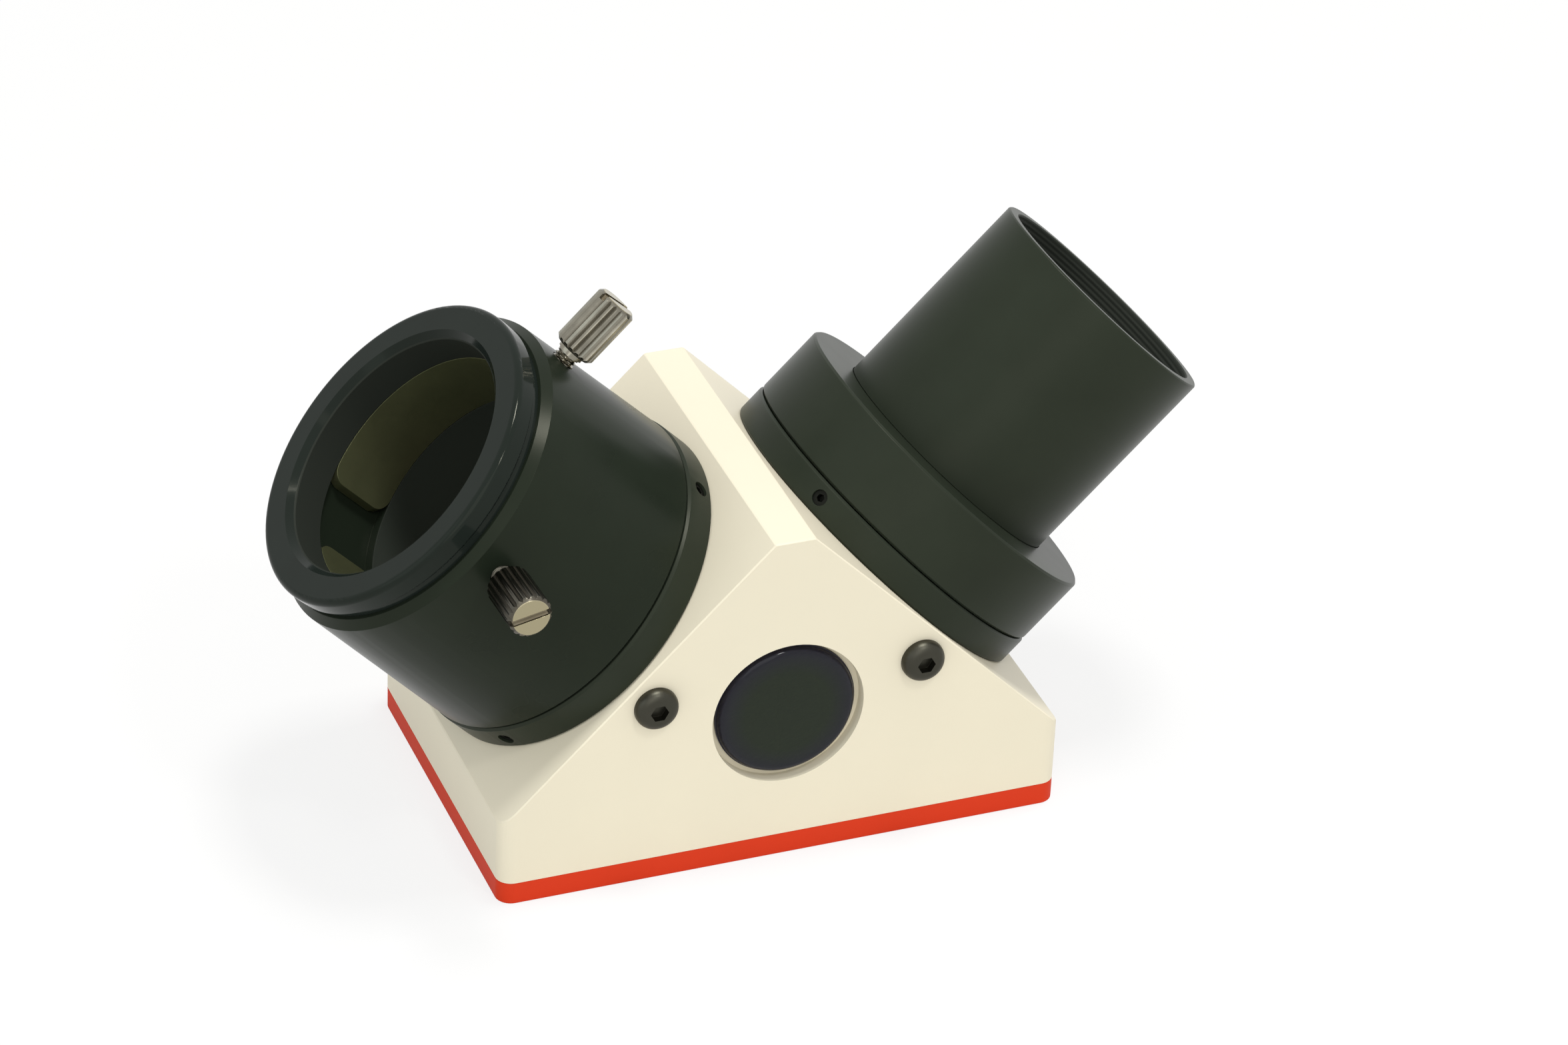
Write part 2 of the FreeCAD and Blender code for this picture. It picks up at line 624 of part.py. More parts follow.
def make_port_ring(label, side, radius, height, foot, azimuth):
    """Ring on the sloping face with a spigot in the housing and a socket for a foot above."""
    body = new_body(label)
    socket = "(" + foot + " + foot_play)"
    groove = "(spigot_radius - lock_groove_depth)"
    groove_low = "(-lock_depth - lock_groove_width / 2)"
    groove_high = "(-lock_depth + lock_groove_width / 2)"
    add_revolution(body, (
        ("aperture_radius", "-spigot_depth"),
        ("spigot_radius", "-spigot_depth"),
        ("spigot_radius", groove_low), (groove, groove_low),
        (groove, groove_high), ("spigot_radius", groove_high),
        ("spigot_radius", "0"),
        (radius + " - ring_break", "0"), (radius, "ring_break"),
        (radius, height + " - ring_break"), (radius + " - ring_break", height),
        (socket, height), (socket, "socket_floor"),
        ("aperture_radius", "socket_floor"),
    ), label + "_profile")
    hole = new_sketch(body, label + "_tap", "YZ_Plane", turn_axis=(0, 1, 0), turn=azimuth)
    draw_circle(hole, "set_screw_radius", "0", "set_screw_height")
    drilled = add_pocket(body, hole, radius + " + " + OVERRUN, flip=True)
    repeat_round(body, drilled, hole, SET_SCREWS)
    place_on_port(body, side)
    return body


def make_set_screws(label, ring, radius, foot, azimuth):
    """Socket set screws that point into the groove of a foot."""
    screw = doc.addObject("PartDesign::Body", label + "_single")
    tip = "(" + foot + " - foot_groove_depth + set_screw_tip_gap)"
    outer = "(" + radius + " - set_screw_sink)"
    add_revolution(screw, (
        ("0", tip), ("set_screw_tip_radius", tip),
        ("set_screw_radius", tip + " + set_screw_cone"),
        ("set_screw_radius", outer), ("0", outer),
    ), label + "_profile")
    socket = new_sketch(screw, label + "_socket", "XY_Plane", ("0", "0", outer))
    draw_hexagon(socket, "set_screw_flats")
    add_pocket(screw, socket, "set_screw_socket_depth")
    spots = []
    for index in range(SET_SCREWS):
        turn = FreeCAD.Rotation(FreeCAD.Vector(0, 0, 1), value(azimuth) + index * 360.0 / SET_SCREWS)
        along_x = FreeCAD.Rotation(FreeCAD.Vector(0, 1, 0), 90)
        spot = FreeCAD.Vector(0, 0, value("set_screw_height"))
        spots.append(ring.Placement.multiply(FreeCAD.Placement(spot, turn.multiply(along_x))))
    copies(label, screw.Shape, spots)


def foot_corners(foot, height):
    """The part of a barrel or collar that plugs into its port ring, from inside out."""
    groove = "(" + foot + " - foot_groove_depth)"
    return (
        (foot + " - ring_break", FOOT_LOW),
        (foot, FOOT_LOW + " + ring_break"),
        (foot, "set_screw_height - foot_groove_mouth"),
        (groove, "set_screw_height - foot_groove_bottom"),
        (groove, "set_screw_height + foot_groove_bottom"),
        (foot, "set_screw_height + foot_groove_mouth"),
        (foot, height + " + seam_gap"),
    )


# ---------------------------------------------------------------- eyepiece side

def make_filter_cell():
    """Cell, blocking filter and retaining ring inside the eyepiece port ring."""
    cell = new_body("blocking_filter_cell")
    glass_low = "(cell_floor - cell_low)"
    cell_top = "(cell_height - cell_low)"
    seat = "(blocker_radius + glass_play)"
    add_revolution(cell, (
        ("blocker_aperture_radius", "-cell_low"), (CELL_RADIUS, "-cell_low"),
        (CELL_RADIUS, cell_top), (seat, cell_top),
        (seat, glass_low), ("blocker_aperture_radius", glass_low),
    ), "cell_profile")
    place_on_port(cell, EYEPIECE_SIDE)
    make_glass("blocking_filter", EYEPIECE_SIDE, "blocker_radius", "blocker_thickness", glass_low)
    ring_low = glass_low + " + blocker_thickness"
    make_retaining_ring("blocking_filter_ring", EYEPIECE_SIDE, "blocker_aperture_radius", seat,
                        ring_low, "blocker_ring_height")


def make_glass(label, side, radius, thickness, low):
    glass = doc.addObject("Part::Cylinder", label)
    glass.Label = label
    bind(glass, "Radius", radius)
    bind(glass, "Height", thickness)
    turn = "slope_angle" if side > 0 else "-slope_angle"
    place(glass, port_spot(side, low), (0, 1, 0), turn)
    exported.append(glass)


def make_retaining_ring(label, side, inner, outer, low, height):
    """Thin threaded ring with two spanner slots."""
    body = new_body(label)
    high = low + " + " + height
    add_revolution(body, ((inner, low), (outer, low), (outer, high), (inner, high)), label + "_profile")
    slot = new_sketch(body, label + "_slot", "XY_Plane", ("0", "0", high))
    x, y = "(" + outer + " + " + OVERRUN + ")", "spanner_slot_width / 2"
    draw_outline(slot, (("-" + x, "-" + y), (x, "-" + y), (x, y), ("-" + x, y)))
    add_pocket(body, slot, "spanner_slot_depth")
    place_on_port(body, side)


def make_barrel():
    """Tapered barrel that plugs into its ring and takes a 1.25 inch eyepiece."""
    body = new_body("eyepiece_barrel")
    height = "eyepiece_ring_height"
    start = "(" + height + " + seam_gap)"
    add_revolution(body, (
        (("aperture_radius", FOOT_LOW),)
        + foot_corners(BARREL_FOOT_RADIUS, height)
        + (
            ("barrel_foot_radius - ring_break", start),
            ("barrel_foot_radius", start + " + ring_break"),
            ("barrel_top_radius", "barrel_top - barrel_chamfer"),
            ("barrel_top_radius - barrel_chamfer", "barrel_top"),
            ("rim_thread_radius", "barrel_top"),
            ("rim_thread_radius", GROOVE_TOP),
            ("ring_groove_radius", GROOVE_TOP),
            ("ring_groove_radius", "ring_groove_low"),
            ("bore_radius", "ring_groove_low"),
            ("bore_radius", "bore_stop"),
            ("aperture_radius", "bore_stop"),
        )
    ), "barrel_profile")
    for name, azimuth in (("upper_tap", UPHILL), ("lower_tap", "lower_thumb_azimuth")):
        hole = new_sketch(body, name, "YZ_Plane", turn_axis=(0, 1, 0), turn=azimuth)
        draw_circle(hole, "screw_radius", "0", "thumb_height")
        add_pocket(body, hole, "barrel_foot_radius + " + OVERRUN, flip=True)
    place_on_port(body, EYEPIECE_SIDE)


def make_clamp_ring():
    """Split brass ring that the thumbscrews press onto the eyepiece."""
    body = new_body("compression_ring")
    low = "(ring_groove_low + clamp_ring_end_play)"
    high = "(" + GROOVE_TOP + " - clamp_ring_end_play)"
    add_revolution(body, (
        ("bore_radius", low), (CLAMP_RING_OUTER, low),
        (CLAMP_RING_OUTER, high), ("bore_radius", high),
    ), "clamp_ring_profile")
    gap = new_sketch(body, "clamp_ring_gap", "YZ_Plane", turn_axis=(0, 1, 0), turn="clamp_ring_azimuth")
    half = "clamp_ring_split / 2"
    below, above = low + " - " + OVERRUN, high + " + " + OVERRUN
    draw_outline(gap, (("-" + half, below), (half, below), (half, above), ("-" + half, above)))
    opened = add_pocket(body, gap, CLAMP_RING_OUTER + " + " + OVERRUN, flip=True)
    dress(body, "Fillet", opened, "clamp_ring_corner", is_level_line)
    place_on_port(body, EYEPIECE_SIDE)


def make_rim():
    """Polished rim screwed into the barrel, which keeps the brass ring in."""
    body = new_body("eyepiece_rim")
    turned = add_revolution(body, (
        ("bore_radius", GROOVE_TOP), ("rim_thread_radius", GROOVE_TOP),
        ("rim_thread_radius", "barrel_top"), ("rim_foot_radius", "barrel_top"),
        ("rim_foot_radius", "barrel_top + rim_foot_height"),
        ("rim_radius", "barrel_top + rim_foot_height + rim_flare"),
        ("rim_radius", "rim_top"), ("bore_radius + rim_mouth", "rim_top"),
        ("bore_radius", "rim_top - rim_mouth"),
    ), "rim_profile")
    edge_at = (value("rim_radius"), value("rim_top"))
    dress(body, "Fillet", turned, "rim_round", lambda edge: is_ring(edge, *edge_at))
    place_on_port(body, EYEPIECE_SIDE)


def make_thumbscrew(label, azimuth, slot_turn):
    """Slotted thumbscrew with a coarse straight knurl; Z runs from its tip outwards."""
    body = new_body(label)
    radius = "(screw_radius - thumb_play)"
    end = "(" + THUMB_SHANK + " + thumb_head_length)"
    head = "thumb_head_radius"
    add_revolution(body, (
        ("0", "0"), (radius + " - thumb_tip_chamfer", "0"), (radius, "thumb_tip_chamfer"),
        (radius, THUMB_SHANK + " - thumb_neck_length"),
        ("thumb_neck_radius", THUMB_SHANK + " - thumb_neck_length"),
        ("thumb_neck_radius", THUMB_SHANK),
        (head + " - thumb_head_chamfer", THUMB_SHANK),
        (head, THUMB_SHANK + " + thumb_head_chamfer"),
        (head, end + " - thumb_head_chamfer"),
        (head + " - thumb_head_chamfer", end), ("0", end),
    ), label + "_profile")
    groove = new_sketch(body, label + "_knurl", "XY_Plane", ("0", "0", THUMB_SHANK))
    draw_outline(groove, (
        (head + " - knurl_depth", "0"),
        (head + " + knurl_depth", "2 * knurl_half_width"),
        (head + " + knurl_depth", "-2 * knurl_half_width"),
    ))
    cut = add_pocket(body, groove, "thumb_head_length", flip=True)
    repeat_round(body, cut, groove, KNURLS, "N_Axis")
    slot = new_sketch(body, label + "_slot", "XY_Plane", ("0", "0", end), (0, 0, 1), slot_turn)
    x, y = "(" + head + " + " + OVERRUN + ")", "thumb_slot_width / 2"
    draw_outline(slot, (("-" + x, "-" + y), (x, "-" + y), (x, y), ("-" + x, y)))
    add_pocket(body, slot, "thumb_slot_depth")
    place_on_barrel(body, "thumb_height", THUMB_TIP, azimuth)


def make_thumbscrews():
    """One thumbscrew faces uphill, the other faces the badge side."""
    make_thumbscrew("thumbscrew_upper", UPHILL, "upper_slot_turn")
    make_thumbscrew("thumbscrew_lower", "lower_thumb_azimuth", "lower_slot_turn")


# ---------------------------------------------------------------- telescope side

def make_collar():
    """Collar that plugs into its ring and carries the nosepiece tube."""
    body = new_body("nose_collar")
    height = "nose_ring_height"
    start = "(" + height + " + seam_gap)"
    bore = "(" + TUBE_FOOT_RADIUS + " + tube_play)"
    add_revolution(body, (
        ((bore, FOOT_LOW),)
        + foot_corners(COLLAR_FOOT_RADIUS, height)
        + (
            (COLLAR_RADIUS + " - ring_break", start),
            (COLLAR_RADIUS, start + " + ring_break"),
            (COLLAR_RADIUS, "collar_top - ring_break"),
            (COLLAR_RADIUS + " - ring_break", "collar_top"),
            ("tube_radius + tube_play", "collar_top"),
            ("tube_radius + tube_play", "collar_top - collar_lip"),
            (bore, "collar_top - collar_lip"),
        )
    ), "collar_profile")
    place_on_port(body, NOSE_SIDE)


def make_tube():
    """1.25 inch nosepiece with a filter thread in its mouth."""
    body = new_body("nose_tube")
    step = "(tube_top - filter_thread_length)"
    lip_low = "(collar_top - collar_lip)"
    bore = "(tube_radius - tube_wall)"
    thread = "(tube_radius - mouth_wall)"
    add_revolution(body, (
        (TRIM_SEAT_RADIUS, "tube_foot_low"), (TUBE_FOOT_RADIUS, "tube_foot_low"),
        (TUBE_FOOT_RADIUS, lip_low),
        ("tube_radius - tube_neck_relief", lip_low),
        ("tube_radius - tube_neck_relief", "collar_top"),
        ("tube_radius", "collar_top"),
        ("tube_radius", "tube_top - tube_mouth_break"),
        ("tube_radius - tube_mouth_break", "tube_top"),
        (thread + " + tube_mouth_break", "tube_top"),
        (thread, "tube_top - tube_mouth_break"),
        (thread, step), (bore, step),
        (bore, "trim_seat"), (TRIM_SEAT_RADIUS, "trim_seat"),
    ), "tube_profile")
    place_on_port(body, NOSE_SIDE)
    glass_low = "(trim_seat - trim_thickness)"
    make_glass("trim_filter", NOSE_SIDE, TRIM_SEAT_RADIUS + " - glass_play", "trim_thickness", glass_low)
    make_retaining_ring("trim_filter_ring", NOSE_SIDE, TRIM_SEAT_RADIUS + " - trim_ring_wall",
                        TRIM_SEAT_RADIUS, glass_low + " - trim_ring_height", "trim_ring_height")


# ---------------------------------------------------------------- assembly

def check_model():
    """Every object recomputed without a fault, every exported shape whole."""
    doc.recompute()
    for item in doc.Objects:
        if "Invalid" in item.State or "Error" in item.State:
            raise RuntimeError("%s is %s" % (item.Name, item.State))
    for part in exported:
        if part.Shape.isNull() or not part.Shape.isValid() or not part.Shape.Solids:
            raise RuntimeError("%s has no sound shape" % part.Label)


def write_parts():
    os.makedirs("parts", exist_ok=True)
    for part in exported:
        part.Shape.exportStep(os.path.join("parts", part.Label + ".step"))


def build():
    make_housing()
    make_base_plate()
    make_plate_screws()
    make_mirror()
    make_mirror_pad()
    make_badge()
    make_lock_screws()
    eyepiece_ring = make_port_ring("eyepiece_port_ring", EYEPIECE_SIDE, "eyepiece_ring_radius",
                                   "eyepiece_ring_height", BARREL_FOOT_RADIUS, "eyepiece_screw_azimuth")
    nose_ring = make_port_ring("nose_port_ring", NOSE_SIDE, NOSE_RING_RADIUS,
                               "nose_ring_height", COLLAR_FOOT_RADIUS, "nose_screw_azimuth")
    make_set_screws("eyepiece_ring_set_screws", eyepiece_ring, "eyepiece_ring_radius",
                    BARREL_FOOT_RADIUS, "eyepiece_screw_azimuth")
    make_set_screws("nose_ring_set_screws", nose_ring, NOSE_RING_RADIUS,
                    COLLAR_FOOT_RADIUS, "nose_screw_azimuth")
    make_filter_cell()
    make_barrel()
    make_clamp_ring()
    make_rim()
    make_thumbscrews()
    make_collar()
    make_tube()
    check_model()
    write_parts()
    for part in exported:
        print(part.Label, len(part.Shape.Solids), round(part.Shape.Volume, 2))


build()
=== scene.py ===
"""Finishes, edges and threads of a right-angle star diagonal with a solar blocking filter.

Metres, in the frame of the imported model: X along the base plate towards the
telescope side, Y away from the badge, Z up. Every piece is worked out from the
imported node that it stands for.
"""

import json
import math

import bmesh
import bpy
from bpy.props import FloatProperty, FloatVectorProperty, PointerProperty
from mathutils import Matrix, Vector


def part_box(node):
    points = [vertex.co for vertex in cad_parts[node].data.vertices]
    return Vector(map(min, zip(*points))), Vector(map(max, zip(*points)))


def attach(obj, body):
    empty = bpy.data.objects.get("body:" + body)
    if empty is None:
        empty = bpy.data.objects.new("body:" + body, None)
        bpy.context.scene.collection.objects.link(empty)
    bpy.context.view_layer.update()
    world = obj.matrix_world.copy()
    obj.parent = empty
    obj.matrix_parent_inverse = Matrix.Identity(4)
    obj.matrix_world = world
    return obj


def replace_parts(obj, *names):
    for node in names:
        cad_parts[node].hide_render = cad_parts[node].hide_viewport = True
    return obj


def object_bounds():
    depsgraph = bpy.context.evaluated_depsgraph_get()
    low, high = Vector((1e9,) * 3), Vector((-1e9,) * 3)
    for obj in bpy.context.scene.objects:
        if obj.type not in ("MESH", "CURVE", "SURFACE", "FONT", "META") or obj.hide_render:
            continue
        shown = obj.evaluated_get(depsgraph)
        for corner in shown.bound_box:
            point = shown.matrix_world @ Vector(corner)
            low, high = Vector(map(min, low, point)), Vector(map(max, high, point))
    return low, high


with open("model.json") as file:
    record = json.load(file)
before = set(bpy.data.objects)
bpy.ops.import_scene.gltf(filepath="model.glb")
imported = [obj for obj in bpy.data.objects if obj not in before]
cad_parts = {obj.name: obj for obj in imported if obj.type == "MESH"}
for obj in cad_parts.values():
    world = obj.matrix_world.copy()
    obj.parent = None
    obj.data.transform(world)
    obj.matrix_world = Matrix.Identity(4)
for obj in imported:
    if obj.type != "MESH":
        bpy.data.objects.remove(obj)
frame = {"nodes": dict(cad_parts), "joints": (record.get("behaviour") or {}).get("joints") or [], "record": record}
CAD_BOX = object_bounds()

bl_info = {
    "name": "Right-angle star diagonal",
    "version": (1, 0, 0),
    "blender": (4, 5, 0),
    "location": "View3D > Sidebar > Diagonal",
    "description": "Finishes, edges and threads of a 1.25 inch star diagonal",
    "category": "Object",
}

MM = 0.001
JOINTS = {joint["name"]: joint for joint in frame["joints"]}
MOUNTS = {mount["name"]: mount for mount in frame["record"]["mounts"]}
BODY_OF = {
    node: body
    for body, nodes in frame["record"]["behaviour"]["bodies"].items()
    for node in nodes
}
SLOT_OF = {row["node"]: row["material_slot"] for row in frame["record"]["subparts"]}

# The camera looks at this point of the frame, from this distance and these angles.
PHOTO_WIDTH = 2352
SENSOR_WIDTH = 36.0
FOCAL_PIXELS = 8829.1
CAMERA_CLIP = (0.05, 20.0)
CAMERA_TARGET = Vector((-42.024, -122.245, 116.121)) * MM
CAMERA_DISTANCE = 567.926 * MM
CAMERA_AZIMUTH = math.radians(-22.167)
CAMERA_ELEVATION = math.radians(32.398)
CAMERA_ROLL = math.radians(2.560)

# Faces that turn by less than the first angle become one; edges above the second are sharp.
FLAT_ANGLE = math.radians(0.3)
SHARP_ANGLE = math.radians(28.0)
WELD = 0.0005 * MM
# The small step that masks and cuts keep from the shapes they follow.
MARGIN = 0.1 * MM
ROUND_STEPS = 192
THREAD_STEPS = 64
ROWS_PER_PITCH = 8
BEVEL_SEGMENTS = 3

# A thread's profile: how high the flanks would meet, and how steeply they fall.
FLANK_PEAK = 1.15
FLANK_SLOPE = 2.4

# The dome: how much of its height is the rounded shoulder, and the rows that draw it.
SHOULDER_SHARE = 0.92
SHOULDER_STEPS = 20

# Heights on a port's axis between which the flat black of its bore goes from painted light far inside to darker at
# the mouth.
BORE_FADE = (4.0 * MM, 24.0 * MM)
# Radii on the badge between which its black turns to a painted violet reflection.
BADGE_FADE = (5.5 * MM, 8.8 * MM)

# A painted reflection: the anodised pieces' reflections are tinted warm.
WARM_REFLECTION_TINT = (1.0, 0.98, 0.80, 1.0)
WHITE = (1.0, 1.0, 1.0)
COOL = (0.80, 0.93, 1.0)
LAMP_DISTANCE = 0.90
SMALL_LAMP_DISTANCE = 0.50
FLOOR_HALF_WIDTH = 6.0
FLOOR_BRIGHT_SHARE = 0.8


# ------------------------------------------------------------------ settings

def length_property(name, description, default):
    return FloatProperty(name=name, description=description, default=default,
                         unit="LENGTH", subtype="DISTANCE", precision=5)


def colour_property(name, description, default):
    return FloatVectorProperty(name=name, description=description, default=default,
                               size=len(default), subtype="COLOR", min=0.0, max=1.0)


def light_property(name, description, default):
    return FloatProperty(name=name, description=description, default=default,
                         min=0.0, unit="POWER")


class DiagonalEdges(bpy.types.PropertyGroup):
    """Widths of the rounded edges, and the threads."""
    housing: length_property("Housing edges", "Rounding of the wedge's edges", 0.12 * MM)
    plate: length_property("Plate edges", "Rounding of the base plate's edges", 0.16 * MM)
    turned: length_property("Turned edges", "Rounding of rings, barrel and collar", 0.07 * MM)
    screws: length_property("Screw edges", "Rounding of screws and sockets", 0.04 * MM)
    inner: length_property("Inner edges", "Rounding of the pieces inside", 0.05 * MM)
    screw_pitch: length_property("Screw pitch", "Thread of the thumbscrews", 0.5 * MM)
    screw_depth: length_property("Screw thread depth", "From crest to root", 0.3 * MM)
    filter_pitch: length_property("Filter pitch", "Thread in the nosepiece's mouth", 0.6 * MM)
    filter_depth: length_property("Filter thread depth", "From root to crest", 0.07 * MM)


class DiagonalColours(bpy.types.PropertyGroup):
    """Colours of the finishes, linear."""
    housing: colour_property("Housing", "Cream satin coat", (0.815, 0.752, 0.585))
    plate: colour_property("Base plate", "Red satin coat", (0.67, 0.046, 0.014))
    satin: colour_property("Satin black", "Anodised rings, collar and nosepiece",
                           (0.0200, 0.0255, 0.0170))
    barrel: colour_property("Barrel black", "Anodised barrel", (0.0130, 0.0180, 0.0115))
    gloss: colour_property("Gloss black", "Polished rim", (0.0120, 0.0165, 0.0140))
    bore: colour_property("Flat black", "Inside of the bores", (0.024, 0.028, 0.023))
    oxide: colour_property("Oxide black", "Screws", (0.062, 0.060, 0.047))
    set_screw: colour_property("Set screw black", "Set screws of the port rings",
                               (0.018, 0.019, 0.016))
    nickel: colour_property("Nickel", "Plated thumbscrews", (0.25, 0.235, 0.19))
    nickel_end: colour_property("Polished nickel", "End faces of the thumbscrews",
                                (0.37, 0.33, 0.21))
    # Painted shade: this colour darkens the knurl grooves of the thumbscrews.
    nickel_groove_shade: colour_property("Groove shade", "In the knurl of the thumbscrews",
                                 (0.075, 0.060, 0.038))
    # Painted light: the slot's brown is lightened to offset the shade inside it.
    nickel_slot_painted_light: colour_property("Slot", "Lightened brown slot of the thumbscrews",
                                 (0.40, 0.35, 0.25))
    brass: colour_property("Brass", "Clamp ring", (0.235, 0.245, 0.125))
    badge: colour_property("Badge", "Bare disc", (0.017, 0.025, 0.013))
    # Painted reflection: violet towards the badge's rim.
    badge_rim_reflection: colour_property("Badge edge", "Disc towards its rim", (0.018, 0.017, 0.028))
    blocker: colour_property("Blocking filter", "Coated glass", (0.16, 0.012, 0.010))
    trim: colour_property("Trim filter", "Coated glass", (0.05, 0.07, 0.19))
    mirror: colour_property("Mirror", "Reflecting coat", (0.86, 0.87, 0.88))
    pad: colour_property("Pad", "Rubber", (0.02, 0.02, 0.02))


class DiagonalStage(bpy.types.PropertyGroup):
    """Floor, light and camera."""
    floor: colour_property("Floor", "Pale floor", (0.86, 0.855, 0.83))
    room: FloatProperty(name="Room light", description="Even light of the room",
                        default=0.585, min=0.0)
    overhead: light_property("Overhead lamp", "Soft lamp straight above", 4.3)
    front: light_property("Front lamp", "Large soft lamp on the badge side", 1.55)
    side: light_property("Side lamp", "Cool soft lamp on the eyepiece side", 0.7)
    spark: light_property("Small lamp", "Small lamp for the glints on polished edges", 0.35)


# ------------------------------------------------------------------ axes

class Axis:
    """The line that turned surfaces are centred on: where it starts, and its direction."""

    def __init__(self, start, direction):
        self.start = Vector(start)
        self.direction = Vector(direction).normalized()

    def matrix(self):
        """From heights along Z to heights along this axis."""
        side = self.direction.orthogonal().normalized()
        turn = Matrix((side, self.direction.cross(side), self.direction)).transposed()
        return Matrix.Translation(self.start) @ turn.to_4x4()


def joint_axis(name):
    return Axis(JOINTS[name]["pos_m"], JOINTS[name]["axis"])


def middle_axis(node, direction):
    """Axis through the middle of a turned node, from its low end, and the node's length."""
    rough = Axis((0.0, 0.0, 0.0), direction)
    back = rough.matrix().inverted()
    points = [back @ vertex.co for vertex in frame["nodes"][node].data.vertices]
    low = [min(point[i] for point in points) for i in range(3)]
    high = [max(point[i] for point in points) for i in range(3)]
    foot = rough.matrix() @ Vector(((low[0] + high[0]) / 2, (low[1] + high[1]) / 2, low[2]))
    return Axis(foot, direction), high[2] - low[2]


EYEPIECE = joint_axis("eyepiece_holder_turn")
NOSE = joint_axis("nosepiece_turn")
EYEPIECE_BORE = MOUNTS["eyepiece_bore"]["dims"]["r_mm"] * MM
NOSE_BORE = MOUNTS["filter_thread"]["dims"]["r_mm"] * MM
UPPER_SCREW, SCREW_LENGTH = middle_axis(
    "thumbscrew_upper", JOINTS["thumbscrew_upper_travel"]["axis"])
LOWER_SCREW, _ = middle_axis(
    "thumbscrew_lower", JOINTS["thumbscrew_lower_travel"]["axis"])
BADGE, DOME_HEIGHT = middle_axis("badge_dome", (0.0, -1.0, 0.0))


# ------------------------------------------------------------------ shader sums

class Signal:
    """A shader socket that takes part in Python sums; each operator adds a Math node."""

    def __init__(self, graph, socket):
        self.graph = graph
        self.socket = socket

    def sum_with(self, operation, *values):
        return self.graph.node("ShaderNodeMath", {"operation": operation},
                               dict(enumerate(values)))

    def __add__(self, other):
        return self.sum_with("ADD", self, other)

    def __radd__(self, other):
        return self.sum_with("ADD", other, self)

    def __sub__(self, other):
        return self.sum_with("SUBTRACT", self, other)

    def __rsub__(self, other):
        return self.sum_with("SUBTRACT", other, self)

    def __mul__(self, other):
        return self.sum_with("MULTIPLY", self, other)

    def __rmul__(self, other):
        return self.sum_with("MULTIPLY", other, self)

    def sine(self):
        return self.sum_with("SINE", self)

    def larger(self, other):
        return self.sum_with("MAXIMUM", self, other)

    def between(self, low, high):
        """0 below low, 1 above high, and a straight rise between them."""
        return self.graph.node("ShaderNodeMapRange", {"clamp": True},
                               {"Value": self, "From Min": low, "From Max": high})


class Graph:
    """The nodes of one material or world."""

    def __init__(self, owner):
        owner.use_nodes = True
        self.tree = owner.node_tree
        self.tree.nodes.clear()

    def node(self, kind, settings=None, inputs=None, output=0):
        """Add a node, give it its settings, then its sockets' values or links."""
        made = self.tree.nodes.new(kind)
        for name, setting in (settings or {}).items():
            setattr(made, name, setting)
        for name, value in (inputs or {}).items():
            if isinstance(value, Signal):
                self.tree.links.new(value.socket, made.inputs[name])
            else:
                made.inputs[name].default_value = value
        return Signal(self, made.outputs[output]) if made.outputs else made

    def place(self):
        return self.node("ShaderNodeTexCoord", output="Object")

    def noise(self, scale, detail=3.0, rough=0.55):
        """Soft random patches, as many to the metre as the scale says."""
        return self.node("ShaderNodeTexNoise", {}, {
            "Vector": self.place(), "Scale": scale, "Detail": detail, "Roughness": rough,
        })

    def vector(self, operation, first, second=(0.0, 0.0, 0.0), output="Vector"):
        return self.node("ShaderNodeVectorMath", {"operation": operation},
                         {0: first, 1: second}, output)

    def height(self, axis):
        """Distance along an axis from its start."""
        arm = self.vector("SUBTRACT", self.place(), axis.start)
        return self.vector("DOT_PRODUCT", arm, axis.direction, "Value")

    def radius(self, axis):
        """Distance from an axis."""
        arm = self.vector("SUBTRACT", self.place(), axis.start)
        across = self.vector("CROSS_PRODUCT", arm, axis.direction)
        return self.vector("LENGTH", across, output="Value")

    def blend(self, share, first, second):
        """Colour between two colours."""
        return self.node("ShaderNodeMix", {"data_type": "RGBA"},
                         {"Factor": share, 6: first, 7: second}, output=2)

    def bump(self, relief, depth, under=None):
        """Normals of a relief this deep, on top of another relief if there is one."""
        sockets = {"Height": relief, "Distance": depth}
        if under is not None:
            sockets["Normal"] = under
        return self.node("ShaderNodeBump", {}, sockets)

    def seen(self):
        """1 for rays that show the background: straight, off gloss or through glass."""
        straight = self.node("ShaderNodeLightPath", output="Is Camera Ray")
        gloss = self.node("ShaderNodeLightPath", output="Is Glossy Ray")
        glass = self.node("ShaderNodeLightPath", output="Is Transmission Ray")
        return straight.larger(gloss).larger(glass)

    def surface(self, **sockets):
        """Principled surface to the output; names as on the socket, with _ for a space."""
        named = {key.replace("_", " "): value for key, value in sockets.items()}
        shader = self.node("ShaderNodeBsdfPrincipled", {}, named)
        self.node("ShaderNodeOutputMaterial", {}, {"Surface": shader})


def opaque(colour, share=1.0):
    """A colour setting times a share, as a socket's four numbers."""
    return tuple(min(1.0, part * share) for part in colour[:3]) + (1.0,)


def new_material(name):
    material = bpy.data.materials.new(name)
    return material, Graph(material)


# ------------------------------------------------------------------ finishes

def coat_material(name, colour, rough, peel, gloss=0.4):
    """Sprayed satin coat: faint mottling and the fine relief of the spray."""
    material, graph = new_material(name)
    patches = graph.noise(70.0, 4.0)
    wave = graph.noise(650.0, 2.0)
    grain = graph.noise(2600.0, 2.0)
    graph.surface(
        Base_Color=graph.blend(patches, opaque(colour, 0.97), opaque(colour, 1.025)),
        Roughness=rough - 0.05 + 0.10 * patches,
        Specular_IOR_Level=gloss,
        Normal=graph.bump(grain, peel, under=graph.bump(wave, 2.0 * peel)),
    )
    return material


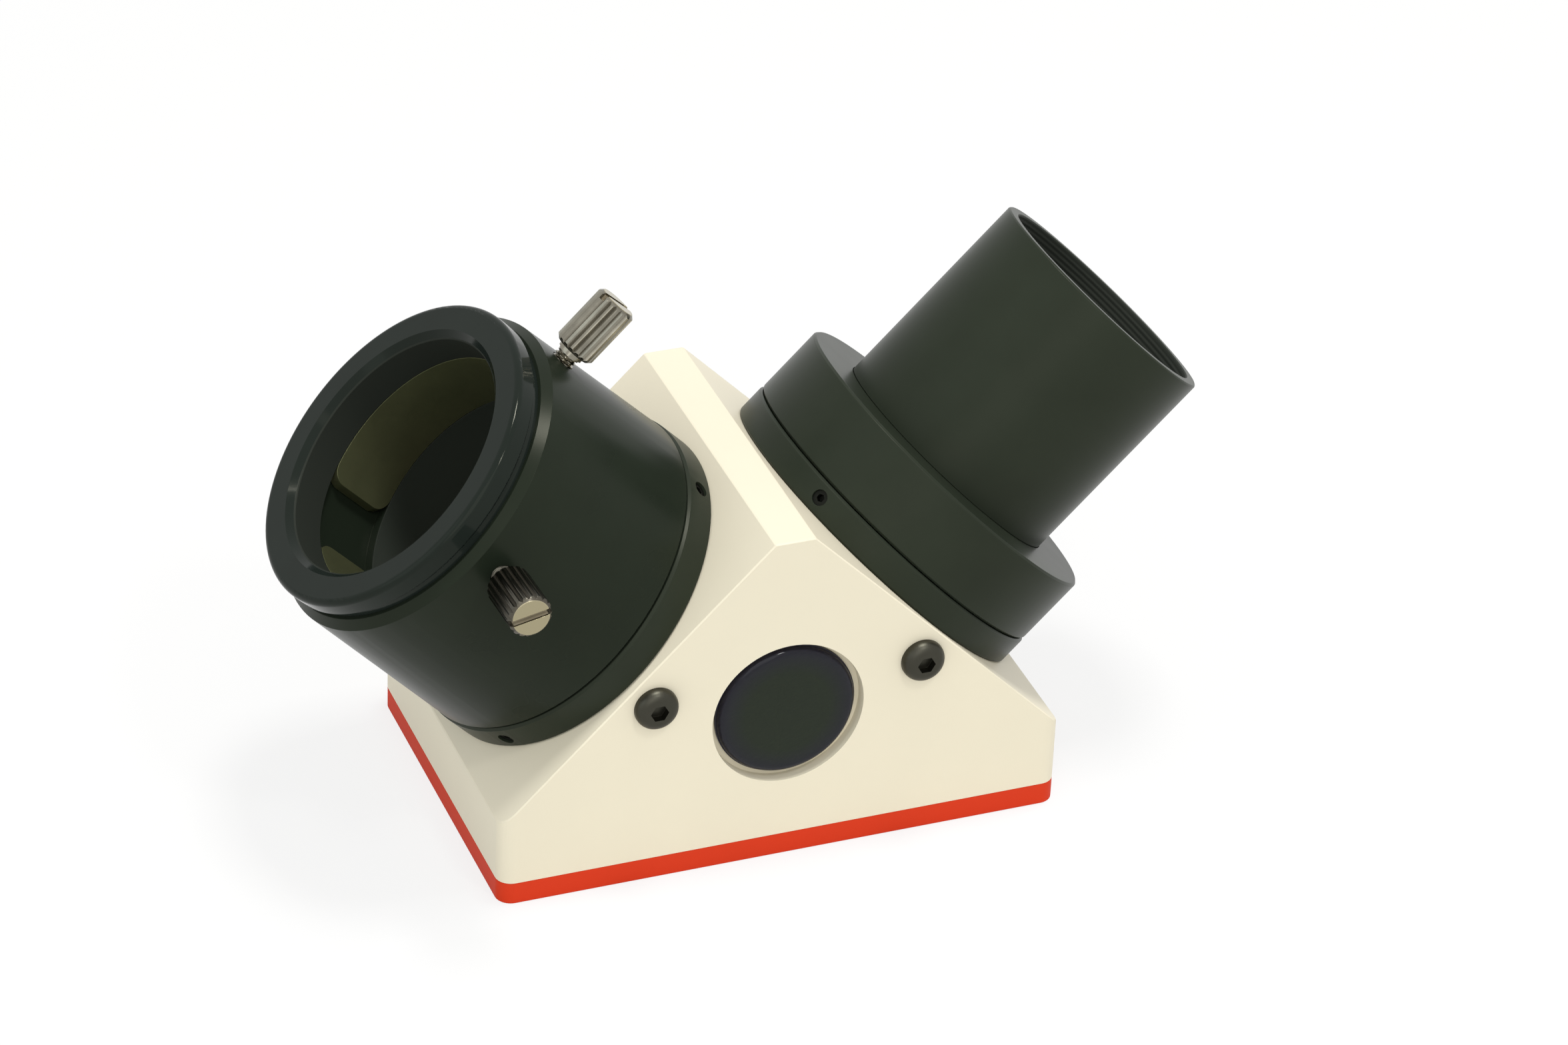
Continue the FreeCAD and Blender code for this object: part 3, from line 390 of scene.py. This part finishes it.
def anodised_material(name, colours, outside, side, rough, gloss, wave_depth=0.0010 * MM):
    """Black anodised metal, very slightly uneven; flat black inside its bore, with painted light far inside."""
    material, graph = new_material(name)
    axis, bore = side
    patches = graph.noise(110.0, 3.0)
    outer = graph.radius(axis).between(bore + MARGIN, bore + 2.0 * MARGIN)
    retinted = graph.blend(patches, opaque(outside, 0.85), opaque(outside, 1.2))
    # Painted light: the bore's flat black is lighter far inside than at its mouth.
    painted_light_deep, mouth = opaque(colours.bore, 3.2), opaque(colours.bore, 0.9)
    flat = graph.blend(graph.height(axis).between(*BORE_FADE), painted_light_deep, mouth)
    graph.surface(
        Base_Color=graph.blend(outer, flat, retinted),
        Roughness=0.62 + (rough - 0.65) * outer + 0.06 * patches,
        Specular_IOR_Level=gloss,
        Specular_Tint=WARM_REFLECTION_TINT,
        Normal=graph.bump(graph.noise(520.0, 1.0), wave_depth),
    )
    return material


def metal_material(name, colour, rough, scratch_scale=1500.0, scratch_depth=0.0010 * MM):
    """Bare or plated metal with small marks and uneven polish."""
    material, graph = new_material(name)
    marks = graph.noise(scratch_scale, 4.0, 0.65)
    patches = graph.noise(260.0, 3.0)
    graph.surface(
        Base_Color=graph.blend(patches, opaque(colour, 0.85), opaque(colour, 1.10)),
        Metallic=1.0,
        Roughness=rough - 0.04 + 0.08 * patches,
        Normal=graph.bump(marks, scratch_depth),
    )
    return material


def nickel_material(name, colours, axis, painted_flank_level):
    """Nickel plate: grey flanks with painted shade in the knurl grooves, a slot painted light brown against its
    shade, and a polished end.
    """
    material, graph = new_material(name)
    core, groove, crest = 2.25 * MM, 2.44 * MM, 2.62 * MM
    slot_high = SCREW_LENGTH - 0.3 * MM
    slot_low = slot_high - 0.7 * MM
    radius, height = graph.radius(axis), graph.height(axis)
    patches = graph.noise(420.0, 4.0, 0.6)
    flank = radius.between(core - MARGIN, core)
    # Painted shade in the knurl grooves: darker, less metallic and rougher between the crests.
    groove_shade = 0.45 * (flank * (1 - radius.between(groove, crest)))
    end = height.between(SCREW_LENGTH - 0.08 * MM, SCREW_LENGTH - 0.03 * MM)
    above, beyond = (height.between(at, at + MARGIN) for at in (slot_low, slot_high))
    sunk = above * (1 - beyond)
    slotted = (1 - flank) * sunk
    # The flank colour is scaled per screw; below 1 that is painted shade.
    plate = graph.blend(patches.between(0.35, 0.65), opaque(colours.nickel, 1.1 * painted_flank_level),
                        opaque(colours.nickel, 0.85 * painted_flank_level))
    groove_shaded = graph.blend(groove_shade, plate, opaque(colours.nickel_groove_shade))
    # Painted light: the slot is coloured a light brown to offset the shade inside it.
    retinted = graph.blend(slotted, groove_shaded, opaque(colours.nickel_slot_painted_light))
    graph.surface(
        Base_Color=graph.blend(end, retinted, opaque(colours.nickel_end)),
        Metallic=1.0 - (0.75 * groove_shade).larger(slotted),
        Roughness=0.13 + 0.10 * patches + 0.2 * groove_shade + 0.3 * slotted,
        Normal=graph.bump(graph.noise(1700.0, 4.0, 0.65), 0.0012 * MM),
    )
    return material


def brass_material(name, colour):
    """Dulled brass with circular tool marks."""
    material, graph = new_material(name)
    line_pitch = 0.16 * MM
    lines = (graph.height(EYEPIECE) * (2.0 * math.pi / line_pitch)).sine()
    patches = graph.noise(180.0, 4.0)
    graph.surface(
        Base_Color=graph.blend(patches, opaque(colour, 0.75), opaque(colour, 1.25)),
        Metallic=0.80 + 0.1 * patches,
        Roughness=0.34 + 0.10 * patches,
        Specular_IOR_Level=0.3,
        Normal=graph.bump(lines, 0.0008 * MM),
    )
    return material


def glass_material(name, colour):
    """Dark coated glass: the coat hides what lies behind it, and its tint drifts."""
    material, graph = new_material(name)
    drift = graph.noise(55.0, 2.0)
    graph.surface(
        Base_Color=graph.blend(drift, opaque(colour, 0.75), opaque(colour, 1.3)),
        Metallic=0.35,
        Roughness=0.03 + 0.02 * drift,
        Coat_Weight=1.0,
        Coat_Roughness=0.02,
    )
    return material


def badge_ground(graph, colours, share):
    """Black in the middle of the badge, with a painted violet reflection towards its rim."""
    middle, rim = opaque(colours.badge, share), opaque(colours.badge_rim_reflection, share)
    return graph.blend(graph.radius(BADGE).between(*BADGE_FADE), middle, rim)


def badge_material(name, colours):
    """The bare disc."""
    material, graph = new_material(name)
    drift = graph.noise(300.0, 3.0)
    graph.surface(
        Base_Color=badge_ground(graph, colours, 1.0),
        Roughness=0.36 + 0.06 * drift,
        Specular_IOR_Level=0.2,
    )
    return material


def dome_material(name, colours):
    """Glossy resin over the badge, in the disc's colours and its painted violet reflection."""
    material, graph = new_material(name)
    drift = graph.noise(140.0, 2.0)
    graph.surface(
        Base_Color=badge_ground(graph, colours, 0.9),
        Roughness=0.02 + 0.02 * drift,
        Specular_IOR_Level=0.22,
        Alpha=0.85,
    )
    return material


def material_for(node, colours):
    """The finish of one node: by its slot, and by the axis it is turned about."""
    slot = SLOT_OF[node]
    on_nose = node.startswith(("nose", "trim"))
    side = (NOSE, NOSE_BORE) if on_nose else (EYEPIECE, EYEPIECE_BORE)
    if node == "eyepiece_barrel":
        return anodised_material("barrel_black", colours, colours.barrel, side, 0.28, 0.10)
    if node.endswith("set_screws"):
        return metal_material("set_screw_black", colours.set_screw, 0.55)
    if slot == "nickel":
        # Painted reflection: the lower thumbscrew's flanks are darker, for the dark barrel they face.
        screw, painted_flank_level = (UPPER_SCREW, 1.0) if node == "thumbscrew_upper" else (LOWER_SCREW, 0.38)
        return nickel_material(node + "_nickel", colours, screw, painted_flank_level)
    makers = {
        "housing_paint": lambda: coat_material("housing_coat", colours.housing, 0.46, 0.0030 * MM),
        "plate_paint": lambda: coat_material("plate_coat", colours.plate, 0.50, 0.0026 * MM, 0.06),
        "black_satin": lambda: anodised_material("satin_black", colours, colours.satin, side,
                                                 0.34, 0.115),
        "black_gloss": lambda: anodised_material("gloss_black", colours, colours.gloss, side,
                                                 0.10, 0.10, 0.0002 * MM),
        "black_steel": lambda: metal_material("oxide_black", colours.oxide, 0.40),
        "ring_brass": lambda: brass_material("turned_brass", colours.brass),
        "mirror_glass": lambda: metal_material("mirror_coat", colours.mirror, 0.06,
                                               400.0, 0.0001 * MM),
        "pad_rubber": lambda: coat_material("rubber", colours.pad, 0.85, 0.0080 * MM),
        "badge_black": lambda: badge_material("badge_print", colours),
        "badge_dome": lambda: dome_material("badge_resin", colours),
        "filter_glass": lambda: glass_material("blocking_glass", colours.blocker),
        "trim_glass": lambda: glass_material("trim_glass_coat", colours.trim),
    }
    return makers[slot]()


# ------------------------------------------------------------------ shapes

def node_mesh(node):
    """The node's own faces, welded and with its flat areas as single faces."""
    mesh = bmesh.new()
    mesh.from_mesh(frame["nodes"][node].data)
    bmesh.ops.remove_doubles(mesh, verts=mesh.verts, dist=WELD)
    bmesh.ops.dissolve_limit(mesh, angle_limit=FLAT_ANGLE, verts=mesh.verts, edges=mesh.edges)
    bmesh.ops.recalc_face_normals(mesh, faces=mesh.faces)
    return mesh


def wound_mesh(axis, rows, steps, closed=False):
    """Skin round an axis through rows of (height, radius at an angle).

    A row whose radius is None is a point on the axis. Closed joins the last row to the first.
    """
    mesh = bmesh.new()
    loops = []
    for height, radius_at in rows:
        if radius_at is None:
            loops.append([mesh.verts.new((0.0, 0.0, height))])
            continue
        angles = [2.0 * math.pi * step / steps for step in range(steps)]
        loops.append([
            mesh.verts.new((radius_at(angle) * math.cos(angle),
                            radius_at(angle) * math.sin(angle), height))
            for angle in angles
        ])
    pairs = list(zip(loops, loops[1:])) + ([(loops[-1], loops[0])] if closed else [])
    for low, high in pairs:
        for step in range(steps):
            after = step + 1
            corners = (low[step % len(low)], low[after % len(low)],
                       high[after % len(high)], high[step % len(high)])
            mesh.faces.new(list(dict.fromkeys(corners)))
    mesh.transform(axis.matrix())
    bmesh.ops.recalc_face_normals(mesh, faces=mesh.faces)
    return mesh


def thread_rows(low, high, root, crest, pitch):
    """Rows of a thread from root to crest, running out over one pitch at both ends."""
    count = max(2, round((high - low) / pitch * ROWS_PER_PITCH))
    rows = []
    for index in range(count + 1):
        height = low + (high - low) * index / count
        run_out = min(1.0, (height - low) / pitch, (high - height) / pitch)

        def radius_at(angle, height=height, run_out=run_out):
            turn = (height / pitch - angle / (2.0 * math.pi)) % 1.0
            ridge = min(1.0, max(0.0, FLANK_PEAK - FLANK_SLOPE * abs(turn - 0.5)))
            return root + (crest - root) * ridge * run_out
        rows.append((height, radius_at))
    return rows


def level(radius):
    """The same radius at every angle."""
    return lambda angle: radius


FINISHES = {}


def new_piece(context, mesh, name, node):
    """A piece with the body, slot and finish of a node, smooth but for its sharp edges."""
    data = bpy.data.meshes.new(name)
    mesh.to_mesh(data)
    mesh.free()
    piece = bpy.data.objects.new(name, data)
    context.scene.collection.objects.link(piece)
    for polygon in data.polygons:
        polygon.use_smooth = True
    data.set_sharp_from_angle(angle=SHARP_ANGLE)
    finish = SLOT_OF[node] + "_" + node
    if finish not in FINISHES:
        FINISHES[finish] = material_for(node, context.scene.diagonal_colours)
    data.materials.append(FINISHES[finish])
    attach(piece, BODY_OF[node])
    return piece


def round_edges(piece, width):
    """Round the sharp edges, and let the large faces set the shading."""
    rounding = piece.modifiers.new("edges", "BEVEL")
    rounding.limit_method = "ANGLE"
    rounding.angle_limit = SHARP_ANGLE
    rounding.width = width
    rounding.segments = BEVEL_SEGMENTS
    rounding.use_clamp_overlap = True
    shading = piece.modifiers.new("shading", "WEIGHTED_NORMAL")
    shading.mode = "FACE_AREA"
    shading.keep_sharp = True


def stand_for(context, edge, *nodes):
    """Pieces with the nodes' own shapes, their edges rounded."""
    for node in nodes:
        piece = new_piece(context, node_mesh(node), node + "_finished", node)
        round_edges(piece, edge)
        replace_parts(piece, node)


# ------------------------------------------------------------------ operators

class HousingOperator(bpy.types.Operator):
    """Make the cream wedge and the red base plate"""
    bl_idname = "diagonal.housing"
    bl_label = "Housing and base plate"

    def execute(self, context):
        edges = context.scene.diagonal_edges
        stand_for(context, edges.housing, "housing")
        stand_for(context, edges.plate, "base_plate")
        return {"FINISHED"}


class BadgeOperator(bpy.types.Operator):
    """Make the bare badge and its clear dome"""
    bl_idname = "diagonal.badge"
    bl_label = "Badge"

    def execute(self, context):
        stand_for(context, context.scene.diagonal_edges.inner, "badge_disc")
        self.make_dome(context)
        return {"FINISHED"}

    def make_dome(self, context):
        """Poured resin: nearly flat in the middle, with a rounded shoulder."""
        low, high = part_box("badge_dome")
        radius = (high[0] - low[0]) / 2
        shoulder = SHOULDER_SHARE * DOME_HEIGHT
        rows = [(0.0, None)]
        for step in range(SHOULDER_STEPS + 1):
            angle = math.pi / 2 * step / SHOULDER_STEPS
            width = radius - shoulder * (1.0 - math.cos(angle))
            rows.append((shoulder * math.sin(angle), level(width)))
        for step in range(SHOULDER_STEPS - 1, 0, -1):
            share = step / SHOULDER_STEPS
            crown = shoulder + (DOME_HEIGHT - shoulder) * (1.0 - share ** 2)
            rows.append((crown, level((radius - shoulder) * share)))
        rows.append((DOME_HEIGHT, None))
        mesh = wound_mesh(BADGE, rows, ROUND_STEPS)
        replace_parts(new_piece(context, mesh, "badge_dome_finished", "badge_dome"), "badge_dome")


class ScrewsOperator(bpy.types.Operator):
    """Make the side screws, the set screws and the plate's screws"""
    bl_idname = "diagonal.screws"
    bl_label = "Screws"

    def execute(self, context):
        stand_for(context, context.scene.diagonal_edges.screws, "side_lock_screws",
                  "base_plate_screws", "eyepiece_ring_set_screws", "nose_ring_set_screws")
        return {"FINISHED"}


class RingsOperator(bpy.types.Operator):
    """Make the two port rings"""
    bl_idname = "diagonal.rings"
    bl_label = "Port rings"

    def execute(self, context):
        stand_for(context, context.scene.diagonal_edges.turned, "eyepiece_port_ring",
                  "nose_port_ring")
        return {"FINISHED"}


class HolderOperator(bpy.types.Operator):
    """Make the eyepiece barrel, its rim and the brass clamp ring"""
    bl_idname = "diagonal.holder"
    bl_label = "Eyepiece holder"

    def execute(self, context):
        stand_for(context, context.scene.diagonal_edges.turned, "eyepiece_barrel",
                  "eyepiece_rim", "compression_ring")
        return {"FINISHED"}


class ThumbscrewsOperator(bpy.types.Operator):
    """Make the two thumbscrews: knurled heads and threaded shanks"""
    bl_idname = "diagonal.thumbscrews"
    bl_label = "Thumbscrews"

    def execute(self, context):
        for node, axis in (("thumbscrew_upper", UPPER_SCREW), ("thumbscrew_lower", LOWER_SCREW)):
            self.make_screw(context, node, axis)
        return {"FINISHED"}

    def make_screw(self, context, node, axis):
        """The node's head and neck, and a real thread in place of its plain shank."""
        edges = context.scene.diagonal_edges
        head = node_mesh(node)
        back = axis.matrix().inverted()
        local = [back @ vert.co for vert in head.verts]
        reach = [(point.z, math.hypot(point.x, point.y)) for point in local]
        shank = max(radius for height, radius in reach if height < edges.screw_pitch)
        neck = min(height for height, radius in reach if radius > shank + MARGIN)
        cut = axis.matrix() @ Vector((0.0, 0.0, neck - edges.screw_pitch / 2))
        everything = head.verts[:] + head.edges[:] + head.faces[:]
        opened = bmesh.ops.bisect_plane(head, geom=everything, dist=WELD, plane_co=cut,
                                        plane_no=axis.direction, clear_inner=True)
        rim = [item for item in opened["geom_cut"] if isinstance(item, bmesh.types.BMEdge)]
        bmesh.ops.edgeloop_fill(head, edges=rim)
        piece = new_piece(context, head, node + "_finished", node)
        round_edges(piece, edges.screws)
        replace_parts(piece, node)

        root = shank - edges.screw_depth
        rows = [(0.0, None), (0.0, level(root - MARGIN))]
        rows += thread_rows(MARGIN, neck, root, shank, edges.screw_pitch)
        rows.append((neck, None))
        new_piece(context, wound_mesh(axis, rows, THREAD_STEPS), node + "_thread", node)


class NosepieceOperator(bpy.types.Operator):
    """Make the collar and the nosepiece tube with its filter thread"""
    bl_idname = "diagonal.nosepiece"
    bl_label = "Nosepiece"

    def execute(self, context):
        edges = context.scene.diagonal_edges
        stand_for(context, edges.turned, "nose_collar", "nose_tube")
        mount = MOUNTS["filter_thread"]
        middle = (Vector(mount["pos_m"]) - NOSE.start).dot(NOSE.direction)
        half = mount["dims"]["length_mm"] * MM / 2
        low, high = middle - half, middle + half
        rows = thread_rows(low, high, NOSE_BORE, NOSE_BORE - edges.filter_depth,
                           edges.filter_pitch)
        sunk = NOSE_BORE + MARGIN / 2
        rows += [(high, level(sunk)), (low, level(sunk))]
        thread = wound_mesh(NOSE, rows, ROUND_STEPS, closed=True)
        new_piece(context, thread, "nose_tube_filter_thread", "nose_tube")
        return {"FINISHED"}


class OpticsOperator(bpy.types.Operator):
    """Make the mirror, its pad, both filters and what holds them"""
    bl_idname = "diagonal.optics"
    bl_label = "Optics"

    def execute(self, context):
        stand_for(context, context.scene.diagonal_edges.inner, "mirror", "mirror_pad",
                  "blocking_filter_cell", "blocking_filter", "blocking_filter_ring",
                  "trim_filter", "trim_filter_ring")
        return {"FINISHED"}


# ------------------------------------------------------------------ stage

def view_axes():
    """The camera's right, up and backward directions, roll included."""
    flat = math.cos(CAMERA_ELEVATION)
    back = Vector((math.sin(CAMERA_AZIMUTH) * flat, -math.cos(CAMERA_AZIMUTH) * flat,
                   math.sin(CAMERA_ELEVATION)))
    right = Vector((0.0, 0.0, 1.0)).cross(back).normalized()
    upward = back.cross(right)
    turn = Matrix.Rotation(CAMERA_ROLL, 3, back)
    return turn @ right, turn @ upward, back


def make_camera(context):
    right, upward, back = view_axes()
    data = bpy.data.cameras.new("camera")
    data.sensor_width = SENSOR_WIDTH
    data.lens = FOCAL_PIXELS / PHOTO_WIDTH * SENSOR_WIDTH
    data.clip_start, data.clip_end = CAMERA_CLIP
    camera = bpy.data.objects.new("camera", data)
    turn = Matrix((right, upward, back)).transposed().to_4x4()
    camera.matrix_world = Matrix.Translation(CAMERA_TARGET + back * CAMERA_DISTANCE) @ turn
    context.scene.collection.objects.link(camera)
    context.scene.camera = camera


def make_lamp(context, name, power, size, direction, distance=LAMP_DISTANCE, colour=WHITE):
    """Square soft lamp that shines on the middle of the object from a direction."""
    data = bpy.data.lights.new(name, "AREA")
    data.shape = "SQUARE"
    data.size = size
    data.energy = power
    data.color = colour
    lamp = bpy.data.objects.new(name, data)
    back = Vector(direction).normalized()
    lamp.location = (CAD_BOX[0] + CAD_BOX[1]) / 2 + back * distance
    lamp.rotation_euler = back.to_track_quat("Z", "Y").to_euler()
    context.scene.collection.objects.link(lamp)


def make_floor(context, colour):
    """Pale floor under the base plate, nearly white where the camera sees it."""
    mesh = bmesh.new()
    bmesh.ops.create_grid(mesh, x_segments=1, y_segments=1, size=FLOOR_HALF_WIDTH)
    data = bpy.data.meshes.new("floor")
    mesh.to_mesh(data)
    mesh.free()
    floor = bpy.data.objects.new("floor", data)
    floor.location.z = CAD_BOX[0].z
    material, graph = new_material("floor_pale")
    plain = graph.node("ShaderNodeBsdfDiffuse", {}, {"Color": opaque(colour)})
    bright = graph.node("ShaderNodeEmission", {}, {"Color": opaque(WHITE), "Strength": 1.0})
    share = graph.seen() * FLOOR_BRIGHT_SHARE
    shown = graph.node("ShaderNodeMixShader", {}, {0: share, 1: plain, 2: bright})
    graph.node("ShaderNodeOutputMaterial", {}, {"Surface": shown})
    data.materials.append(material)
    context.scene.collection.objects.link(floor)


def make_world(context, room):
    """White where the camera, gloss or glass sees it, an even room light elsewhere."""
    world = bpy.data.worlds.new("room")
    graph = Graph(world)
    strength = room + (1.0 - room) * graph.seen()
    light = graph.node("ShaderNodeBackground", {}, {"Color": opaque(WHITE), "Strength": strength})
    graph.node("ShaderNodeOutputWorld", {}, {"Surface": light})
    context.scene.world = world


class StageOperator(bpy.types.Operator):
    """Make the floor, the light and the camera"""
    bl_idname = "diagonal.stage"
    bl_label = "Stage"

    def execute(self, context):
        stage = context.scene.diagonal_stage
        make_floor(context, stage.floor)
        make_world(context, stage.room)
        make_lamp(context, "overhead_lamp", stage.overhead, 0.18, (0.11, 0.0, 0.98))
        make_lamp(context, "front_lamp", stage.front, 0.70, (-0.22, -0.78, 0.55))
        make_lamp(context, "side_lamp", stage.side, 0.60, (-0.90, -0.15, 0.40), colour=COOL)
        make_lamp(context, "small_lamp", stage.spark, 0.06, (0.126, -0.557, 0.82),
                  SMALL_LAMP_DISTANCE)
        make_camera(context)
        context.scene.view_settings.view_transform = "Standard"
        return {"FINISHED"}


OPERATORS = (
    HousingOperator, BadgeOperator, ScrewsOperator, RingsOperator, HolderOperator,
    ThumbscrewsOperator, NosepieceOperator, OpticsOperator, StageOperator,
)


class DiagonalPanel(bpy.types.Panel):
    """Buttons for the pieces, and the sizes and colours they use"""
    bl_idname = "VIEW3D_PT_diagonal"
    bl_label = "Star diagonal"
    bl_space_type = "VIEW_3D"
    bl_region_type = "UI"
    bl_category = "Diagonal"

    def draw(self, context):
        for operator in OPERATORS:
            self.layout.operator(operator.bl_idname)
        scene = context.scene
        for group in (scene.diagonal_edges, scene.diagonal_colours, scene.diagonal_stage):
            for name in group.__annotations__:
                self.layout.prop(group, name)


CLASSES = (DiagonalEdges, DiagonalColours, DiagonalStage) + OPERATORS + (DiagonalPanel,)


def register():
    for item in CLASSES:
        bpy.utils.register_class(item)
    bpy.types.Scene.diagonal_edges = PointerProperty(type=DiagonalEdges)
    bpy.types.Scene.diagonal_colours = PointerProperty(type=DiagonalColours)
    bpy.types.Scene.diagonal_stage = PointerProperty(type=DiagonalStage)


def unregister():
    del bpy.types.Scene.diagonal_stage
    del bpy.types.Scene.diagonal_colours
    del bpy.types.Scene.diagonal_edges
    for item in reversed(CLASSES):
        bpy.utils.unregister_class(item)


def main():
    register()
    for operator in OPERATORS:
        group, name = operator.bl_idname.split(".")
        getattr(getattr(bpy.ops, group), name)()


if __name__ == "__main__":
    main()
